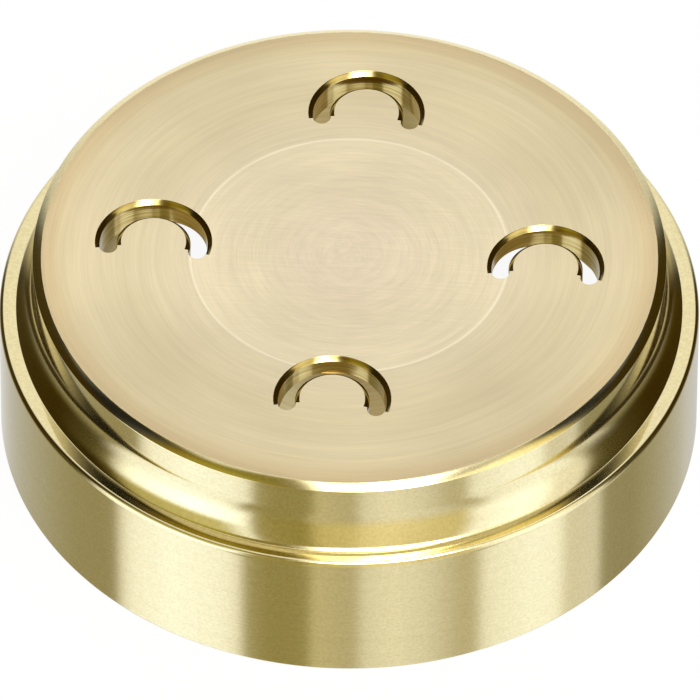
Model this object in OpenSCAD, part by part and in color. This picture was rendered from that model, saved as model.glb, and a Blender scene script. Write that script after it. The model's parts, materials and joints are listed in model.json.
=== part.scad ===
// Pasta extrusion die: one piece of brass, turned on a lathe and then milled.
// It stands on its rim with the outlet face up. Z is the turning axis, the origin is the
// centre of the rim, and the open side of every crescent outlet faces -Y.

/* [Flange] */
// Diameter of the flange, which drops into the ring nut
flange_d = 56; // [51:0.5:64]
// Height of the flange, from the rim to the shoulder
flange_h = 12.5; // [9:0.5:16]
// Wall of the flange round the seat
flange_wall = 3; // [2:0.25:4.5]
// Edge break on the rim's two edges
rim_break = 0.2; // [0.1:0.05:0.5]

/* [Shoulder] */
// Width of the shoulder that the ring nut presses on
shoulder_w = 2.7; // [2.2:0.1:3.7]
// Thickness of the web between the seat's floor and the shoulder
shoulder_t = 4; // [2:0.25:6]
// Chamfer on the shoulder's outer edge, measured across
shoulder_chamfer_w = 0.25; // [0.1:0.05:0.5]
// Chamfer on the shoulder's outer edge, measured down
shoulder_chamfer_h = 0.35; // [0.1:0.05:0.8]
// Width of the curved root that runs from the boss out onto the shoulder
root_w = 1.35; // [0.5:0.05:1.4]
// Height of that root on the boss
root_h = 2.7; // [1.5:0.1:3]

/* [Boss] */
// Height of the boss above the shoulder
boss_h = 5.9; // [4:0.1:10]
// Chamfer round the outlet face, measured across
face_chamfer_w = 0.7; // [0.2:0.05:1.2]
// Chamfer round the outlet face, measured down
face_chamfer_h = 0.4; // [0.2:0.05:1.2]

/* [Dough chamber] */
// Thickness of the face plate at the chamber's wall
plate_t = 2.8; // [2.2:0.1:4]
// How much thinner the face plate is at the hub, where the chamber's ceiling is highest
ceiling_rise = 1.4; // [0.4:0.1:1.6]
// Room between the outlets and the chamber's wall
chamber_margin = 1.4; // [0.8:0.1:2.5]
// Chamfer at the chamber's mouth
chamber_chamfer = 0.5; // [0.2:0.1:1]
// Bevel where the chamber's wall and the hub run into the face plate
chamber_corner = 0.6; // [0.2:0.1:0.7]

/* [Hub] */
// Room between the outlets and the hub in the middle of the chamber
hub_margin = 1.4; // [0.8:0.1:2.5]
// How far the hub's end lies behind the seat's floor
hub_set_back = 0.2; // [0:0.1:2]
// Chamfer round the hub's end
hub_chamfer = 0.5; // [0.2:0.1:1]
// Diameter of the bearing for the tip of the dough screw
bearing_d = 8; // [4:0.5:9]
// Depth of that bearing, from the hub's end
bearing_depth = 6; // [3:0.5:7]
// Chamfer at the bearing's mouth
bearing_chamfer = 0.4; // [0.2:0.1:0.8]

/* [Outlets] */
// Number of crescent outlets
outlet_count = 4; // [1:1:6]
// Diameter of the circle through the outlets' centres
outlet_ring_d = 31.4; // [29:0.2:34]
// Radius of an outlet's bend, at the middle of its width
outlet_bend_r = 3.64; // [2.6:0.02:4.4]
// Angle that an outlet's bend goes round
outlet_arc = 206; // [120:1:230]
// Width of an outlet
outlet_w = 1.36; // [0.8:0.02:2]
// How far the drilled ends of an outlet reach past its walls on each side
end_relief = 0.03; // [0.03:0.01:0.1]
// Chamfer along an outlet's bend, measured across
mouth_chamfer_w = 0.38; // [0.1:0.01:0.6]
// Chamfer along an outlet's bend, measured down
mouth_chamfer_h = 0.33; // [0.1:0.01:0.6]

/* [Hidden] */
$fn = 128;
// Length by which a cut runs past the face that it opens
overcut = 0.2;

flange_r = flange_d / 2;
boss_r = flange_r - shoulder_w;
die_h = flange_h + boss_h;
// Radius of the root's curve, which meets the boss smoothly and the shoulder at an angle
root_r = (root_w * root_w + root_h * root_h) / (2 * root_w);

seat_r = flange_r - flange_wall;
seat_floor_z = flange_h - shoulder_t;
chamber_top_z = die_h - plate_t;
outlet_ring_r = outlet_ring_d / 2;
outlet_reach = outlet_bend_r + outlet_w / 2;
chamber_r = outlet_ring_r + outlet_reach + chamber_margin;

hub_r = outlet_ring_r - outlet_reach - hub_margin;
hub_top_z = chamber_top_z + ceiling_rise;
hub_end_z = seat_floor_z + hub_set_back;
bearing_r = bearing_d / 2;
bearing_end_z = hub_end_z + bearing_depth;

// Half of a section, outside: flange, shoulder and boss up to the outlet face.
module blank_section() {
    polygon([
        [0, 0],
        [flange_r - rim_break, 0],
        [flange_r, rim_break],
        [flange_r, flange_h - shoulder_chamfer_h],
        [flange_r - shoulder_chamfer_w, flange_h],
        [boss_r, flange_h],
        [boss_r, die_h - face_chamfer_h],
        [boss_r - face_chamfer_w, die_h],
        [0, die_h]
    ]);
}

// Half of a section of the seat, open at the rim.
module seat_section() {
    polygon([
        [0, -overcut],
        [seat_r + rim_break + overcut, -overcut],
        [seat_r, rim_break],
        [seat_r, seat_floor_z],
        [0, seat_floor_z]
    ]);
}

// Half of a section of the dough chamber, a ring round the hub with a conical ceiling.
module chamber_section() {
    polygon([
        [0, seat_floor_z - overcut],
        [chamber_r + chamber_chamfer + overcut, seat_floor_z - overcut],
        [chamber_r, seat_floor_z + chamber_chamfer],
        [chamber_r, chamber_top_z - chamber_corner],
        [chamber_r - chamber_corner, chamber_top_z],
        [hub_r + chamber_corner, hub_top_z],
        [hub_r, hub_top_z - chamber_corner],
        [hub_r, hub_end_z + hub_chamfer],
        [hub_r - hub_chamfer, hub_end_z],
        [0, hub_end_z]
    ]);
}

// Half of a section of the blind bearing in the hub's end.
module bearing_section() {
    polygon([
        [0, hub_end_z - overcut],
        [bearing_r + bearing_chamfer + overcut, hub_end_z - overcut],
        [bearing_r, hub_end_z + bearing_chamfer],
        [bearing_r, bearing_end_z],
        [0, bearing_end_z]
    ]);
}

// Metal left between shoulder and boss by the curved flank of the turning tool.
module root_section() {
    translate([boss_r, flange_h])
        difference() {
            square([root_w, root_h]);
            translate([root_r, root_h])
                circle(root_r);
        }
}

module turned_section() {
    difference() {
        blank_section();
        seat_section();
        chamber_section();
        bearing_section();
    }
    root_section();
}

// Half of a section across the milled bend, with a flared mouth at the face.
module bend_half_section() {
    half_w = outlet_w / 2;
    mouth_flare = mouth_chamfer_w / mouth_chamfer_h;
    polygon([
        [0, chamber_top_z - overcut],
        [half_w, chamber_top_z - overcut],
        [half_w, die_h - mouth_chamfer_h],
        [half_w + mouth_chamfer_w + overcut * mouth_flare, die_h + overcut],
        [0, die_h + overcut]
    ]);
}

// The milled bend of a crescent outlet round its own centre, open to -Y.
module milled_bend() {
    rotate(90 - outlet_arc / 2)
        rotate_extrude(angle = outlet_arc)
            translate([outlet_bend_r, 0]) {
                bend_half_section();
                mirror([1, 0])
                    bend_half_section();
            }
}

// The two drilled ends of that bend, without a chamfer.
module drilled_ends() {
    for (side = [0, 1])
        mirror([side, 0, 0])
            rotate(90 - outlet_arc / 2)
                translate([outlet_bend_r, 0, chamber_top_z - overcut])
                    cylinder(h = plate_t + 2 * overcut, r = outlet_w / 2 + end_relief);
}

// Places a cut at each outlet's centre, without turning it.
module at_outlets() {
    for (i = [0 : outlet_count - 1]) {
        around = i * 360 / outlet_count;
        translate([outlet_ring_r * cos(around), outlet_ring_r * sin(around), 0])
            children();
    }
}

module die_body() {
    color("goldenrod")
        difference() {
            difference() {
                rotate_extrude()
                    turned_section();
                at_outlets()
                    milled_bend();
            }
            at_outlets()
                drilled_ends();
        }
}

die_body();
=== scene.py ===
import json
import math

import bmesh
import bpy
from mathutils import Matrix, Vector


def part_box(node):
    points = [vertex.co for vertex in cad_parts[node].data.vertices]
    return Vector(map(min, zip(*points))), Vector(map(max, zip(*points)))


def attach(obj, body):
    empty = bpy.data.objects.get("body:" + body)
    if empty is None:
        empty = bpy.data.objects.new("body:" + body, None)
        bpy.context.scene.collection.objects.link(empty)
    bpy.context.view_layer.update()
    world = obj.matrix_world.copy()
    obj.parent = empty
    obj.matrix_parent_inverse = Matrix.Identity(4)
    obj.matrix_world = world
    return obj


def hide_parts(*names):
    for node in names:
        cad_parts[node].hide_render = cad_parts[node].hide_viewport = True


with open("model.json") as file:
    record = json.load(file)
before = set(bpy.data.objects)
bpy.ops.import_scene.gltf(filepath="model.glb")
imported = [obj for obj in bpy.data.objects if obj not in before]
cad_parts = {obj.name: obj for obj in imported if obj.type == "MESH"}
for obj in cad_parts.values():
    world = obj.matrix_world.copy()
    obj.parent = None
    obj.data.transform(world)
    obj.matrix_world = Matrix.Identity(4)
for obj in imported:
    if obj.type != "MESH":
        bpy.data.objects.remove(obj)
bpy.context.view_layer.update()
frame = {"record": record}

# Turned blank: the die is one piece of brass, turned on a lathe from round bar.
# Its outline runs from the outlet face over boss, shoulder and flange to the rim, and on through
# the seat into the dough chamber. It stands on the rim, and nothing is fixed to it.
mm = 0.001
mounts = {mount["name"]: mount for mount in frame["record"]["mounts"]}
top_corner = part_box("die_body")[1]
flange_r = top_corner.x
die_h = top_corner.z
boss_r = mounts["boss"]["dims"]["r_mm"] * mm
seat_r = mounts["seat"]["dims"]["r_mm"] * mm
bearing_r = mounts["bearing"]["dims"]["r_mm"] * mm
shoulder_z = mounts["shoulder"]["pos_m"][2]
seat_floor_z = mounts["seat_floor"]["pos_m"][2]
bearing_z = mounts["bearing"]["pos_m"][2]
bearing_half = mounts["bearing"]["dims"]["length_mm"] * mm / 2

rim_break = 0.2 * mm
root_w = 1.35 * mm
root_h = 3 * mm
shoulder_edge_w = 0.4 * mm
shoulder_edge_h = 0.5 * mm
face_chamfer_w = 0.7 * mm
face_chamfer_h = 0.4 * mm
face_edge_r = boss_r - face_chamfer_w
face_band = 0.5 * mm

plate_t = 2.8 * mm
ceiling_rise = 1.4 * mm
chamber_r = 21.42 * mm
chamber_chamfer = 0.5 * mm
chamber_corner = 0.6 * mm
chamber_top_z = die_h - plate_t
ceiling_edge_r = chamber_r - chamber_corner
hub_r = 9.98 * mm
hub_chamfer = 0.5 * mm
hub_root_r = hub_r + chamber_corner
hub_top_z = chamber_top_z + ceiling_rise
bearing_chamfer = 0.4 * mm
bearing_end_z = bearing_z + bearing_half
hub_end_z = bearing_z - bearing_half - bearing_chamfer

# The tool's flank has left a curved root on the boss, which meets the shoulder at an angle.
root_steps = 14
root_r = (root_w ** 2 + root_h ** 2) / (2 * root_w)
root_angle = math.asin(root_h / root_r)
root = []
for step in range(root_steps + 1):
    angle = root_angle * step / root_steps
    root.append((
        boss_r + root_r * (1 - math.cos(angle)),
        shoulder_z + root_h - root_r * math.sin(angle)))

# The shoulder's outer edge is rounded off with a file.
edge_steps = 8
shoulder_edge = []
for step in range(edge_steps + 1):
    angle = math.pi / 2 * step / edge_steps
    shoulder_edge.append((
        flange_r - shoulder_edge_w * (1 - math.sin(angle)),
        shoulder_z - shoulder_edge_h * (1 - math.cos(angle))))

FACED, TURNED, MILLED, BORED = range(4)
round_steps = 288
join_gap = 0.001 * mm
die = bmesh.new()


def draw(points):
    """Draws a chain of points with edges between them and returns both."""
    chain = [die.verts.new(point) for point in points]
    edges = [die.edges.new(pair) for pair in zip(chain, chain[1:])]
    return chain, edges


def finish_since(known, finish):
    """Gives a finish to the faces that were made since a set of faces was taken, and returns them."""
    fresh = set(die.faces) - known
    for facet in fresh:
        facet.material_index = finish
        facet.smooth = True
    return fresh


def turn(outline, finish):
    """Spins half a section, given by radius and height, round the die's axis."""
    chain, edges = draw([(radius, 0, height) for radius, height in outline])
    known = set(die.faces)
    bmesh.ops.spin(
        die, geom=chain + edges, cent=(0, 0, 0), axis=(0, 0, 1),
        angle=math.tau, steps=round_steps, use_merge=True)
    finish_since(known, finish)


# Of the outlet face, only a band at its edge is turned here. The rest is filled in round the slots.
turn([(face_edge_r - face_band, die_h), (face_edge_r, die_h)], FACED)
turn([
    (face_edge_r, die_h),
    (boss_r, die_h - face_chamfer_h),
    *root,
    *shoulder_edge,
    (flange_r, rim_break),
    (flange_r - rim_break, 0),
    (seat_r + rim_break, 0),
], TURNED)
turn([
    (seat_r + rim_break, 0),
    (seat_r, rim_break),
    (seat_r, seat_floor_z),
    (chamber_r + chamber_chamfer, seat_floor_z),
    (chamber_r, seat_floor_z + chamber_chamfer),
    (chamber_r, chamber_top_z - chamber_corner),
    (ceiling_edge_r, chamber_top_z),
], BORED)
turn([
    (hub_root_r, hub_top_z),
    (hub_r, hub_top_z - chamber_corner),
    (hub_r, hub_end_z + hub_chamfer),
    (hub_r - hub_chamfer, hub_end_z),
    (bearing_r + bearing_chamfer, hub_end_z),
    (bearing_r, hub_end_z + bearing_chamfer),
    (bearing_r, bearing_end_z),
    (0, bearing_end_z),
], BORED)
bmesh.ops.remove_doubles(die, verts=die.verts, dist=join_gap)
bmesh.ops.recalc_face_normals(die, faces=die.faces)

# Every turned edge has been broken by a few hundredths of a millimetre.
edge_break = 0.05 * mm
crisp_angle = math.radians(20)
crisp = [
    edge for edge in die.edges
    if len(edge.link_faces) == 2 and edge.calc_face_angle() > crisp_angle]
bmesh.ops.bevel(
    die, geom=crisp, offset=edge_break, offset_type="OFFSET", affect="EDGES",
    segments=3, profile=0.5, material=-1, clamp_overlap=True)

# Crescent outlets: four slots milled right through the face plate of the same brass.
# A cutter goes round the bend and leaves a chamfer along it, and a drill has opened its two ends.
# All four have their open side to the front.
outlet_count = 4
outlet_ring_r = 15.7 * mm
outlet_half = 0.68 * mm
outlet_arc = math.radians(206)
bend_r = 3.64 * mm
bend_start = math.pi / 2 - outlet_arc / 2
bend_end = bend_start + outlet_arc
bend_steps = 72
end_steps = 24
mouth_chamfer_w = 0.33 * mm
mouth_chamfer_h = 0.32 * mm
mouth_z = die_h - mouth_chamfer_h
lip_break = 0.035 * mm
slot_overrun = 1 * mm
slot_low_z = chamber_top_z - slot_overrun
slot_gap = 0.002 * mm
flat_inset = 0.1 * mm
near_gap = 0.01 * mm
up = Vector((0, 0, 1))


def towards(angle, distance=1):
    """Level vector at an angle from the X axis."""
    return Vector((distance * math.cos(angle), distance * math.sin(angle), 0))


def sweep(section, centre, angle, steps):
    """Spins an upright chain of points round a vertical line and returns the points at its two ends."""
    chain, edges = draw(section)
    known = set(die.faces)
    made = bmesh.ops.spin(
        die, geom=chain + edges, cent=centre, axis=(0, 0, 1), angle=angle, steps=steps)
    finish_since(known, MILLED)
    return chain + [part for part in made["geom_last"] if isinstance(part, bmesh.types.BMVert)]


def flat_corners(ends, centre, out, side):
    """Corners of the small flat where the chamfer stops at one side of the bend, in order round it."""
    flat_reach = bend_r + side * (outlet_half + flat_inset)
    found = []
    for v in ends:
        offset = v.co - centre
        reach = offset.dot(out)
        at_end = reach > 0 and abs(offset.cross(out).z) < slot_gap
        at_side = (reach - bend_r) * side > flat_inset
        at_mouth = v.co.z > mouth_z - near_gap
        if at_end and at_side and at_mouth:
            found.append((math.atan2(v.co.z - die_h + flat_inset, reach - flat_reach), v))
    found.sort(key=lambda pair: pair[0])
    corners = []
    for _, v in found:
        if all((v.co - other.co).length > slot_gap for other in corners):
            corners.append(v)
    return corners


for number in range(outlet_count):
    centre = towards(number * math.tau / outlet_count, outlet_ring_r)
    start = towards(bend_start)
    known = set(die.verts)
    ends = []
    for side in (1, -1):
        wall = bend_r + side * outlet_half
        lip = wall + side * mouth_chamfer_w
        ends += sweep([
            centre + start * (lip + side * lip_break) + up * die_h,
            centre + start * (lip - side * lip_break) + up * (die_h - lip_break),
            centre + start * wall + up * mouth_z,
            centre + start * wall + up * slot_low_z,
        ], centre, outlet_arc, bend_steps)
    for way, angle in ((-1, bend_start), (1, bend_end)):
        out = towards(angle)
        middle = centre + out * bend_r
        ends += sweep([
            middle + out * (outlet_half + lip_break) + up * die_h,
            middle + out * outlet_half + up * (die_h - 2 * lip_break),
            middle + out * outlet_half + up * mouth_z,
            middle + out * outlet_half + up * slot_low_z,
        ], middle, way * math.pi, end_steps)
    # The chamfer stops square at both ends of the bend.
    for angle in (bend_start, bend_end):
        for side in (1, -1):
            flat = die.faces.new(flat_corners(ends, centre, towards(angle), side))
            flat.material_index = MILLED
    fresh = [v for v in die.verts if v not in known]
    bmesh.ops.remove_doubles(die, verts=fresh, dist=slot_gap)

# The slots' lower edges lie on the conical ceiling of the chamber.
ceiling_slope = (hub_top_z - chamber_top_z) / (ceiling_edge_r - hub_root_r)


def ceiling_z(point):
    """Height of the chamber's ceiling over a point."""
    return chamber_top_z + (ceiling_edge_r - point.xy.length) * ceiling_slope


for v in die.verts:
    if abs(v.co.z - slot_low_z) < near_gap and v.link_faces[0].material_index == MILLED:
        v.co.z = ceiling_z(v.co)

# The face and the ceiling are filled in round the slots, and the ceiling is laid on its cone.
ceiling_cuts = 3
rims = [edge for edge in die.edges if len(edge.link_faces) == 1]
face_rims = [edge for edge in rims if all(abs(v.co.z - die_h) < join_gap for v in edge.verts)]
ceiling_rims = [edge for edge in rims if all(v.co.z < mouth_z for v in edge.verts)]
known = set(die.faces)
bmesh.ops.triangle_fill(die, use_beauty=True, use_dissolve=False, edges=face_rims, normal=(0, 0, 1))
finish_since(known, FACED)
known = set(die.faces)
bmesh.ops.triangle_fill(
    die, use_beauty=True, use_dissolve=False, edges=ceiling_rims, normal=(0, 0, -1))
ceiling = finish_since(known, BORED)
inner_edges = [
    edge for edge in die.edges
    if len(edge.link_faces) == 2 and all(facet in ceiling for facet in edge.link_faces)]
bmesh.ops.subdivide_edges(die, edges=inner_edges, cuts=ceiling_cuts, use_grid_fill=True)
ceiling = finish_since(known, BORED)
for v in {v for facet in ceiling for v in facet.verts}:
    off_slots = all(facet.material_index == BORED for facet in v.link_faces)
    off_wall = v.co.z > chamber_top_z + 2 * near_gap
    off_hub = v.co.xy.length > hub_root_r + near_gap
    if off_slots and off_wall and off_hub:
        v.co.z = ceiling_z(v.co)
bmesh.ops.recalc_face_normals(die, faces=die.faces)

# Light runs smoothly over curves, and over an edge between two finishes only where it is nearly flat.
curve_angle = math.radians(32)
flat_angle = math.radians(8)
for edge in die.edges:
    if len(edge.link_faces) == 2:
        one, other = edge.link_faces
        same_finish = one.material_index == other.material_index
        edge.smooth = edge.calc_face_angle() < (curve_angle if same_finish else flat_angle)

die_mesh = bpy.data.meshes.new("die_body_brass")
die.to_mesh(die_mesh)
die.free()
die_piece = bpy.data.objects.new("die_body_brass", die_mesh)
bpy.context.scene.collection.objects.link(die_piece)
even = die_piece.modifiers.new("even_normals", "WEIGHTED_NORMAL")
even.keep_sharp = True

# Brass: one metal all over, with the marks that each tool has left on it.
# The face is sanded over its facing marks, the sides are smooth from the lathe, the slots show
# the cutter's lines, and the inside is left as it was bored. The slots and the inside are
# painted darker, as painted shade.


def node(tree, kind, **settings):
    """Adds a node and sets its properties."""
    made = tree.nodes.new(kind)
    for name, value in settings.items():
        setattr(made, name, value)
    return made


def feed(tree, socket, value):
    """Links an output to a socket, or sets a plain value on it."""
    if isinstance(value, bpy.types.NodeSocket):
        tree.links.new(value, socket)
    else:
        socket.default_value = value


def calculate(tree, operation, *values):
    """Adds a Math node on links or numbers and returns its output."""
    made = node(tree, "ShaderNodeMath", operation=operation)
    for socket, value in zip(made.inputs, values):
        feed(tree, socket, value)
    return made.outputs[0]


def mix(tree, share, first, second, kind="MIX"):
    """Adds a Mix node on two colours, which are its inputs 6 and 7, and returns its colour, output 2."""
    made = node(tree, "ShaderNodeMix", data_type="RGBA", blend_type=kind)
    feed(tree, made.inputs["Factor"], share)
    feed(tree, made.inputs[6], first)
    feed(tree, made.inputs[7], second)
    return made.outputs[2]


def tint(tree, first, second):
    """Multiplies two colours and returns the result."""
    return mix(tree, 1, first, second, kind="MULTIPLY")


def ramp(tree, source, stops):
    """Adds a colour ramp from places and colours or grey levels and returns its colour."""
    made = node(tree, "ShaderNodeValToRGB")
    elements = made.color_ramp.elements
    while len(elements) > 1:
        elements.remove(elements[-1])
    for number, (place, colour) in enumerate(stops):
        element = elements[0] if number == 0 else elements.new(place)
        element.position = place
        element.color = (*colour, 1) if isinstance(colour, tuple) else (colour, colour, colour, 1)
    tree.links.new(source, made.inputs[0])
    return made.outputs["Color"]


def spread(tree, source, low, high, start=0.3, end=0.7):
    """Maps a range, or else the usual range of a noise, to a new one."""
    made = node(tree, "ShaderNodeMapRange")
    tree.links.new(source, made.inputs["Value"])
    for name, value in (("From Min", start), ("From Max", end), ("To Min", low), ("To Max", high)):
        made.inputs[name].default_value = value
    return made.outputs[0]


def noise(tree, place, scale, detail, roughness=0.5):
    """Adds a noise over a place and returns its level."""
    made = node(tree, "ShaderNodeTexNoise")
    made.inputs["Scale"].default_value = scale
    made.inputs["Detail"].default_value = detail
    made.inputs["Roughness"].default_value = roughness
    tree.links.new(place, made.inputs["Vector"])
    return made.outputs["Fac"]


def stretched(tree, place, scale, turned_by=0):
    """Scales a place along each axis, then turns the result round Z."""
    made = node(tree, "ShaderNodeMapping")
    made.inputs["Rotation"].default_value = (0, 0, turned_by)
    made.inputs["Scale"].default_value = scale
    tree.links.new(place, made.inputs["Vector"])
    return made.outputs[0]


def roughen(tree, shader, source, depth):
    """Adds a bump of the given depth in metres."""
    made = node(tree, "ShaderNodeBump")
    made.inputs["Distance"].default_value = depth
    tree.links.new(source, made.inputs["Height"])
    tree.links.new(made.outputs[0], shader.inputs["Normal"])


def mark_group():
    """Builds the group that draws tool marks round the die's axis, fine lines and broader streaks.

    Pitch says how close the lines lie over a millimetre, and Run how often one changes on its way.
    """
    made = bpy.data.node_groups.new("tool_marks", "ShaderNodeTree")
    made.interface.new_socket("Place", in_out="INPUT", socket_type="NodeSocketVector")
    for name in ("Pitch", "Run"):
        made.interface.new_socket(name, in_out="INPUT", socket_type="NodeSocketFloat")
    for name in ("Lines", "Streaks", "Radius"):
        made.interface.new_socket(name, in_out="OUTPUT", socket_type="NodeSocketFloat")
    given = node(made, "NodeGroupInput")
    result = node(made, "NodeGroupOutput")
    split = node(made, "ShaderNodeSeparateXYZ")
    made.links.new(given.outputs["Place"], split.inputs[0])
    x, y, z = split.outputs
    squares = calculate(
        made, "ADD", calculate(made, "MULTIPLY", x, x), calculate(made, "MULTIPLY", y, y))
    least_radius = 0.01 * mm
    radius = calculate(made, "MAXIMUM", calculate(made, "SQRT", squares), least_radius)
    radius_mm = calculate(made, "DIVIDE", radius, mm)
    height_mm = calculate(made, "DIVIDE", z, mm)
    height_share = 0.73
    across = calculate(made, "ADD", radius_mm, calculate(made, "MULTIPLY", height_mm, height_share))
    streak_share = 0.16
    for name, pitch_share, run_share in (
            ("Lines", 1, 1), ("Streaks", streak_share, streak_share ** 0.25)):
        pitch = calculate(made, "MULTIPLY", given.outputs["Pitch"], pitch_share)
        run = calculate(made, "MULTIPLY", given.outputs["Run"], run_share)
        place = node(made, "ShaderNodeCombineXYZ")
        feed(made, place.inputs[0], calculate(made, "MULTIPLY", across, pitch))
        for socket, along in zip(place.inputs[1:], (x, y)):
            feed(made, socket, calculate(made, "MULTIPLY", calculate(made, "DIVIDE", along, radius), run))
        level = noise(made, place.outputs[0], scale=1, detail=3, roughness=0.6)
        made.links.new(level, result.inputs[name])
    made.links.new(radius_mm, result.inputs["Radius"])
    return made


marks = mark_group()


def tool_marks(tree, place, pitch, run):
    """Places the group in a material with its own pitch and run, and returns its outputs."""
    made = node(tree, "ShaderNodeGroup", node_tree=marks)
    made.inputs["Pitch"].default_value = pitch
    made.inputs["Run"].default_value = run
    tree.links.new(place, made.inputs["Place"])
    return made.outputs


def brass(name, metallic=1):
    """Starts a brass material and returns it with its tree, its shader and its Object coordinates."""
    material = bpy.data.materials.new(name)
    material.use_nodes = True
    tree = material.node_tree
    shader = tree.nodes["Principled BSDF"]
    shader.inputs["Metallic"].default_value = metallic
    place = node(tree, "ShaderNodeTexCoord").outputs["Object"]
    return material, tree, shader, place


# The outlet face: fine facing marks, a lighter line where the tool stopped, a paler sanded middle
# and a warmer edge. Its sanded surface scatters a part of the light, so it is metallic only in part.
faced, tree, shader, place = brass("faced_brass", metallic=0.6)
cut = tool_marks(tree, place, pitch=11, run=2.6)
ramp_end_mm = 25
by_radius = ramp(tree, calculate(tree, "DIVIDE", cut["Radius"], ramp_end_mm), [
    (0.0, (0.707, 0.599, 0.43)),
    (0.18, (0.707, 0.599, 0.426)),
    (0.28, (0.683, 0.584, 0.399)),
    (0.48, (0.703, 0.603, 0.408)),
    (0.503, (0.703, 0.603, 0.408)),
    (0.508, (0.822, 0.732, 0.535)),
    (0.515, (0.658, 0.564, 0.377)),
    (0.72, (0.626, 0.53, 0.331)),
    (0.86, (0.633, 0.535, 0.338)),
    (0.92, (0.614, 0.511, 0.307)),
    (0.945, (0.579, 0.46, 0.264)),
    (0.985, (0.545, 0.423, 0.238))])
lines = ramp(tree, cut["Lines"], [(0.3, 0.95), (0.5, 1.0), (0.72, 1.05)])
streaks = ramp(tree, cut["Streaks"], [(0.3, 0.95), (0.5, 1.0), (0.7, 1.05)])
clouds = ramp(tree, noise(tree, place, scale=75, detail=2), [(0.3, 0.94), (0.5, 1.0), (0.7, 1.06)])
# Painted highlight: the outer ring is painted lighter to the left and right, where its facing marks catch
# the light.
plain = (1, 1, 1, 1)
apart = node(tree, "ShaderNodeSeparateXYZ")
tree.links.new(place, apart.inputs[0])
radius = calculate(tree, "MULTIPLY", cut["Radius"], mm)
share_x = calculate(tree, "DIVIDE", apart.outputs["X"], radius)
side_highlight = ramp(tree, calculate(tree, "MULTIPLY", share_x, share_x), [
    (0.0, 0.98), (0.5, 0.94), (0.85, 1.03), (1.0, 1.1)])
ring = mix(tree, spread(tree, cut["Radius"], 0, 1, start=9, end=19), plain, side_highlight)
# The middle has been sanded crosswise. The turn only picks another stretch of the noise.
sanding = stretched(tree, place, (260, 5200, 1), turned_by=math.radians(-28))
scratches = ramp(tree, noise(tree, sanding, scale=1, detail=3), [(0.3, 0.96), (0.5, 1.0), (0.72, 1.045)])
sanded = mix(tree, spread(tree, cut["Radius"], 0.1, 1, start=15, end=9), plain, scratches)
colour = by_radius
for layer in (lines, streaks, ring, clouds, sanded):
    colour = tint(tree, colour, layer)
tree.links.new(colour, shader.inputs["Base Color"])
tree.links.new(spread(tree, cut["Lines"], 0.28, 0.42), shader.inputs["Roughness"])
roughen(tree, shader, cut["Lines"], 0.0015 * mm)

# The turned sides: smooth, with lines that blur what they mirror up and down but not sideways.
turned, tree, shader, place = brass("turned_brass")
cut = tool_marks(tree, place, pitch=9, run=1.5)
lines = ramp(tree, cut["Lines"], [(0.3, (0.72, 0.625, 0.345)), (0.7, (0.76, 0.665, 0.375))])
grain = ramp(tree, noise(tree, place, scale=4200, detail=2), [(0.3, 0.93), (0.5, 1.0), (0.7, 1.07)])
tree.links.new(tint(tree, lines, grain), shader.inputs["Base Color"])
shader.inputs["Roughness"].default_value = 0.085
shader.inputs["Anisotropic"].default_value = 0.9
way_round = node(tree, "ShaderNodeTangent", direction_type="RADIAL", axis="Z")
tree.links.new(way_round.outputs[0], shader.inputs["Tangent"])
roughen(tree, shader, cut["Lines"], 0.0005 * mm)

# The milled slots: the same brass with its colour painted darker, as painted shade in the narrow slots,
# and with the cutter's level lines.
milled, tree, shader, place = brass("milled_brass_painted_shade")
cutter = noise(tree, stretched(tree, place, (180, 180, 5600)), scale=1, detail=2)
lines = ramp(tree, cutter, [(0.35, (0.37, 0.27, 0.08)), (0.65, (0.55, 0.43, 0.17))])
tree.links.new(lines, shader.inputs["Base Color"])
shader.inputs["Roughness"].default_value = 0.12
roughen(tree, shader, cutter, 0.003 * mm)

# The bored inside: duller, with coarser lines, and its colour painted darker as painted shade inside the
# chamber.
bored, tree, shader, place = brass("bored_brass_painted_shade")
cut = tool_marks(tree, place, pitch=4, run=1.5)
lines = ramp(tree, cut["Lines"], [(0.3, (0.47, 0.36, 0.16)), (0.7, (0.57, 0.46, 0.22))])
tree.links.new(lines, shader.inputs["Base Color"])
shader.inputs["Roughness"].default_value = 0.38
roughen(tree, shader, cut["Lines"], 0.006 * mm)

for material in (faced, turned, milled, bored):
    die_mesh.materials.append(material)

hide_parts("die_body")
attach(die_piece, "root")

# Camera: a long lens from the front and a little from the right, as in the photograph.
# Its place, its tilt and its lens were fitted to the outlines of flange, boss and face.
camera_azimuth = math.radians(4.8)
camera_elevation = math.radians(47.195)
camera_tilt = math.radians(0.266)
camera_distance = 1.4
aim_right = 0.075 * mm
aim_height = 7.21 * mm
sensor_width_mm = 36
picture_width_px = 700
focal_length_px = 17448.9
to_camera = Vector((
    math.cos(camera_elevation) * math.sin(camera_azimuth),
    -math.cos(camera_elevation) * math.cos(camera_azimuth),
    math.sin(camera_elevation)))
looked_at = towards(camera_azimuth) * aim_right + up * aim_height
lens = bpy.data.cameras.new("camera")
lens.sensor_width = sensor_width_mm
lens.lens = focal_length_px / picture_width_px * sensor_width_mm
camera = bpy.data.objects.new("camera", lens)
camera.rotation_mode = "QUATERNION"
camera.location = looked_at + to_camera * camera_distance
tilt = Matrix.Rotation(camera_tilt, 4, "Z").to_quaternion()
camera.rotation_quaternion = to_camera.to_track_quat("Z", "Y") @ tilt
bpy.context.scene.collection.objects.link(camera)
bpy.context.scene.camera = camera

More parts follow.
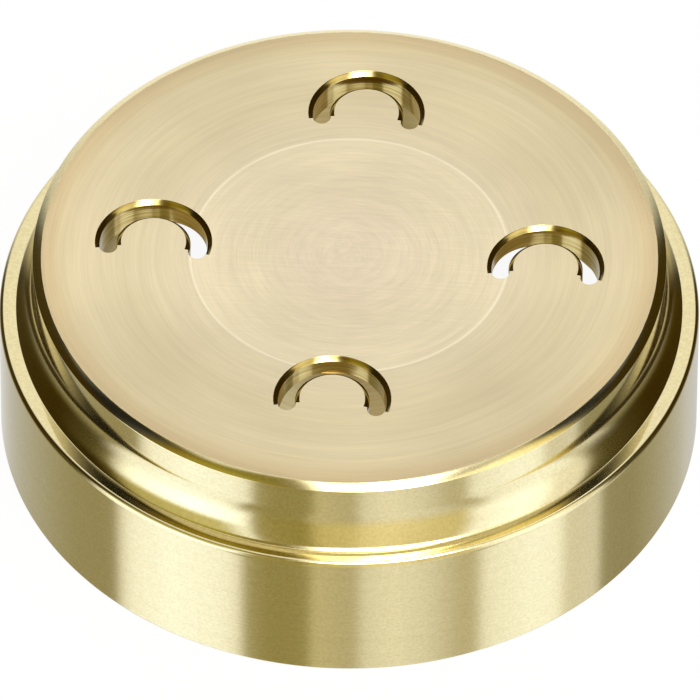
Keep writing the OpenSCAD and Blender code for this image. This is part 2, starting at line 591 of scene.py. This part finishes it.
# Floor: a plain white sheet. The camera sees it white with a faint shadow, the metal sees
# the studio through it, and it doesn't hide the die from below.
sheet_half = 3
sheet_glow = 0.93
floor_shape = bmesh.new()
bmesh.ops.create_grid(floor_shape, x_segments=1, y_segments=1, size=sheet_half)
floor_mesh = bpy.data.meshes.new("floor")
floor_shape.to_mesh(floor_mesh)
floor_shape.free()
floor = bpy.data.objects.new("floor", floor_mesh)
bpy.context.scene.collection.objects.link(floor)
floor.visible_glossy = False
paper = bpy.data.materials.new("white_sheet")
paper.use_nodes = True
tree = paper.node_tree
tree.nodes.clear()
matt = node(tree, "ShaderNodeBsdfDiffuse")
matt.inputs["Color"].default_value = (0.9, 0.9, 0.9, 1)
glow = node(tree, "ShaderNodeEmission")
clear = node(tree, "ShaderNodeBsdfTransparent")
sheet_ray = node(tree, "ShaderNodeLightPath")
sheet_side = node(tree, "ShaderNodeNewGeometry")
white = node(tree, "ShaderNodeMixShader")
glow_share = calculate(tree, "MULTIPLY", sheet_ray.outputs["Is Camera Ray"], sheet_glow)
for socket, source in zip(white.inputs, (glow_share, matt.outputs[0], glow.outputs[0])):
    tree.links.new(source, socket)
one_way = node(tree, "ShaderNodeMixShader")
sources = (sheet_side.outputs["Backfacing"], white.outputs[0], clear.outputs[0])
for socket, source in zip(one_way.inputs, sources):
    tree.links.new(source, socket)
sheet_output = node(tree, "ShaderNodeOutputMaterial")
tree.links.new(one_way.outputs[0], sheet_output.inputs["Surface"])
floor_mesh.materials.append(paper)

# Studio: white to the camera. The metal sees soft panels instead, in rings low, level and high
# round the die, with a bright group over the camera, a plain panel overhead and one behind the die.
studio = bpy.data.worlds.new("studio")
bpy.context.scene.world = studio
studio.use_nodes = True
tree = studio.node_tree
tree.nodes.clear()
direction = node(tree, "ShaderNodeTexCoord")
facing = node(tree, "ShaderNodeVectorRotate", rotation_type="Z_AXIS")
facing.inputs["Angle"].default_value = -camera_azimuth
tree.links.new(direction.outputs["Generated"], facing.inputs["Vector"])
parts = node(tree, "ShaderNodeSeparateXYZ")
tree.links.new(facing.outputs[0], parts.inputs[0])
forwards = calculate(tree, "MULTIPLY", parts.outputs["Y"], -1)
angle_round = calculate(tree, "ARCTAN2", parts.outputs["X"], forwards)
turn_share = calculate(tree, "ADD", calculate(tree, "DIVIDE", angle_round, math.tau), 0.5)
side_share = calculate(tree, "ADD", calculate(tree, "MULTIPLY", parts.outputs["X"], 0.5), 0.5)


def by_angle(stops):
    """Panels given by their angle from the camera's side, to the right, in degrees."""
    return ramp(tree, turn_share, [((angle + 180) / 360, level) for angle, level in stops])


def by_side(stops):
    """Panels given by how far they lie to the right, from -1 to 1."""
    return ramp(tree, side_share, [(place / 2 + 0.5, level) for place, level in stops])


def above(level, blur, axis="Z"):
    """Share of 0 to 1 that rises over a height in the studio, or over a depth with the Y axis."""
    made = node(tree, "ShaderNodeMapRange", interpolation_type="SMOOTHSTEP")
    tree.links.new(parts.outputs[axis], made.inputs["Value"])
    made.inputs["From Min"].default_value = level - blur
    made.inputs["From Max"].default_value = level + blur
    return made.outputs[0]


# The low ring, which the upright walls of flange and boss mirror.
low_panels = by_angle([
    (-180, 0.85), (-150, 0.6), (-120, (0.47, 0.45, 0.36)), (-104, (0.40, 0.37, 0.24)),
    (-84, (0.38, 0.34, 0.2)), (-81, (1.0, 1.0, 1.05)), (-77, (1.25, 1.3, 1.45)),
    (-60, (1.38, 1.5, 1.8)), (-44, (1.3, 1.38, 1.6)), (-37, (1.18, 1.22, 1.35)),
    (-34, (0.45, 0.41, 0.24)), (-26, (0.37, 0.33, 0.15)), (-14, (0.38, 0.34, 0.16)),
    (-11, (0.72, 0.68, 0.5)), (2, (0.58, 0.54, 0.4)), (5, 0.92), (15, 1.06), (26, 0.92),
    (39, (0.62, 0.58, 0.45)), (43, (0.66, 0.62, 0.5)), (46, (1.12, 1.16, 1.25)),
    (64, (1.32, 1.4, 1.6)), (74, (1.28, 1.35, 1.5)), (78, (0.87, 0.85, 0.8)),
    (91, (0.9, 0.9, 0.92)), (94, (0.38, 0.36, 0.25)), (108, (0.37, 0.34, 0.22)),
    (125, (0.47, 0.45, 0.36)), (150, 0.65)])

# The level ring, which the curved root mirrors.
level_dark = (0.25, 0.2, 0.06)
level_panels = by_angle([
    (-180, 0.5), (-140, (0.3, 0.26, 0.12)), (-104, level_dark), (-78, level_dark),
    (-75, 0.9), (-70, (1.5, 1.6, 1.8)), (-47, (1.9, 2.1, 2.6)), (-31.5, (1.6, 1.7, 2.0)),
    (-28.5, (0.42, 0.37, 0.15)), (-12.6, (0.36, 0.31, 0.1)), (-9.2, (0.75, 0.67, 0.35)),
    (1.7, (0.8, 0.71, 0.4)), (4.2, (1.0, 0.9, 0.6)), (12, (1.1, 1.0, 0.7)),
    (33.5, (0.8, 0.71, 0.4)), (36, (0.85, 0.78, 0.5)), (38.6, (1.3, 1.35, 1.5)),
    (53.5, (1.6, 1.7, 2.0)), (62, (1.5, 1.6, 1.8)), (66, (1.15, 1.15, 1.15)),
    (75.5, (1.1, 1.1, 1.1)), (79.5, level_dark), (110, level_dark), (140, (0.3, 0.26, 0.12))])

# The high ring and the group over the camera, which the root's foot, the shoulder's edge and the
# chamfer round the face mirror.
high_panels = by_angle([
    (-180, 0.5), (-124, 0.48), (-112, 0.1), (-104, 0.02), (-92, 0.02), (-84, 0.08),
    (-76, (0.25, 0.18, 0.03)), (-66, (0.42, 0.35, 0.05)), (-50, (0.5, 0.44, 0.08)),
    (-40, (0.46, 0.4, 0.06)), (-33, (0.29, 0.22, 0.03)), (-20, (0.27, 0.2, 0.03)),
    (-16, 0.5), (-11, 1.8), (-7, 5), (2, 6), (8, 11), (18, 14), (26, 11), (33, 6.5), (38, 2),
    (44, (1.3, 1.25, 1.0)), (64, (1.6, 1.55, 1.2)), (78, (1.3, 1.2, 0.8)),
    (84, (0.9, 0.75, 0.3)), (89, 0.2), (94, 0.04), (104, 0.02), (112, 0.1), (124, 0.48)])
over_panels = by_side([
    (-0.9, 0.04), (-0.6, (0.12, 0.09, 0.02)), (-0.4, (0.36, 0.31, 0.06)),
    (-0.2, (0.24, 0.2, 0.03)), (-0.14, (0.2, 0.16, 0.03)), (-0.1, 3), (0.04, 4), (0.08, 9),
    (0.2, 9), (0.28, 3), (0.32, 1.0), (0.35, (0.6, 0.56, 0.5)), (0.6, (0.9, 0.88, 0.9)),
    (0.65, (0.3, 0.26, 0.15)), (0.7, 0.06)])

# Tints that darken the rings to the sides and the back, and the upper part of the left side.
side_dark = (0.2, 0.15, 0.04)
side_tint = by_angle([
    (-180, 0.3), (-100, side_dark), (-84, 0.4), (-76, 1), (76, 1), (84, 0.4), (104, side_dark)])
left_dark = (0.4, 0.34, 0.14)
left_tint = by_angle([(-100, 1), (-88, left_dark), (-40, left_dark), (-30, 1)])

# The plain panel overhead, and the one behind the die that lights the outlet face.
overhead_panel = by_side([(-0.5, 0.9), (0.0, 1.05), (0.5, 0.9)])
overhead = calculate(tree, "MULTIPLY", above(-0.16, 0.05, axis="Y"), above(0.9, 0.03))
back_panel = by_side([
    (-0.64, 0.05), (-0.57, 0.45), (-0.52, 0.8), (-0.3, 1.12),
    (0.3, 1.12), (0.52, 0.8), (0.57, 0.45), (0.64, 0.05)])
behind = calculate(tree, "MULTIPLY", above(0.38, 0.08, axis="Y"), above(0.58, 0.05))
behind = calculate(tree, "MAXIMUM", behind, above(0.75, 0.05, axis="Y"))

mirrored = mix(tree, above(-0.3, 0.25), low_panels, level_panels)
mirrored = mix(tree, above(-0.45, 0.22), mirrored, tint(tree, mirrored, side_tint))
mirrored = mix(tree, above(0.3, 0.12), mirrored, tint(tree, mirrored, left_tint))
mirrored = mix(tree, above(0.66, 0.03), mirrored, high_panels)
mirrored = mix(tree, above(0.87, 0.03), mirrored, over_panels)
mirrored = mix(tree, overhead, mirrored, overhead_panel)
mirrored = mix(tree, behind, mirrored, back_panel)
room = node(tree, "ShaderNodeBackground")
tree.links.new(mirrored, room.inputs["Color"])
backdrop = node(tree, "ShaderNodeBackground")
backdrop.inputs["Color"].default_value = (1, 1, 1, 1)
room_ray = node(tree, "ShaderNodeLightPath")
shown = calculate(
    tree, "MAXIMUM", room_ray.outputs["Is Camera Ray"], room_ray.outputs["Is Transmission Ray"])
choice = node(tree, "ShaderNodeMixShader")
for socket, source in zip(choice.inputs, (shown, room.outputs[0], backdrop.outputs[0])):
    tree.links.new(source, socket)
studio_output = node(tree, "ShaderNodeOutputWorld")
tree.links.new(choice.outputs[0], studio_output.inputs["Surface"])

bpy.context.scene.view_settings.view_transform = "Standard"
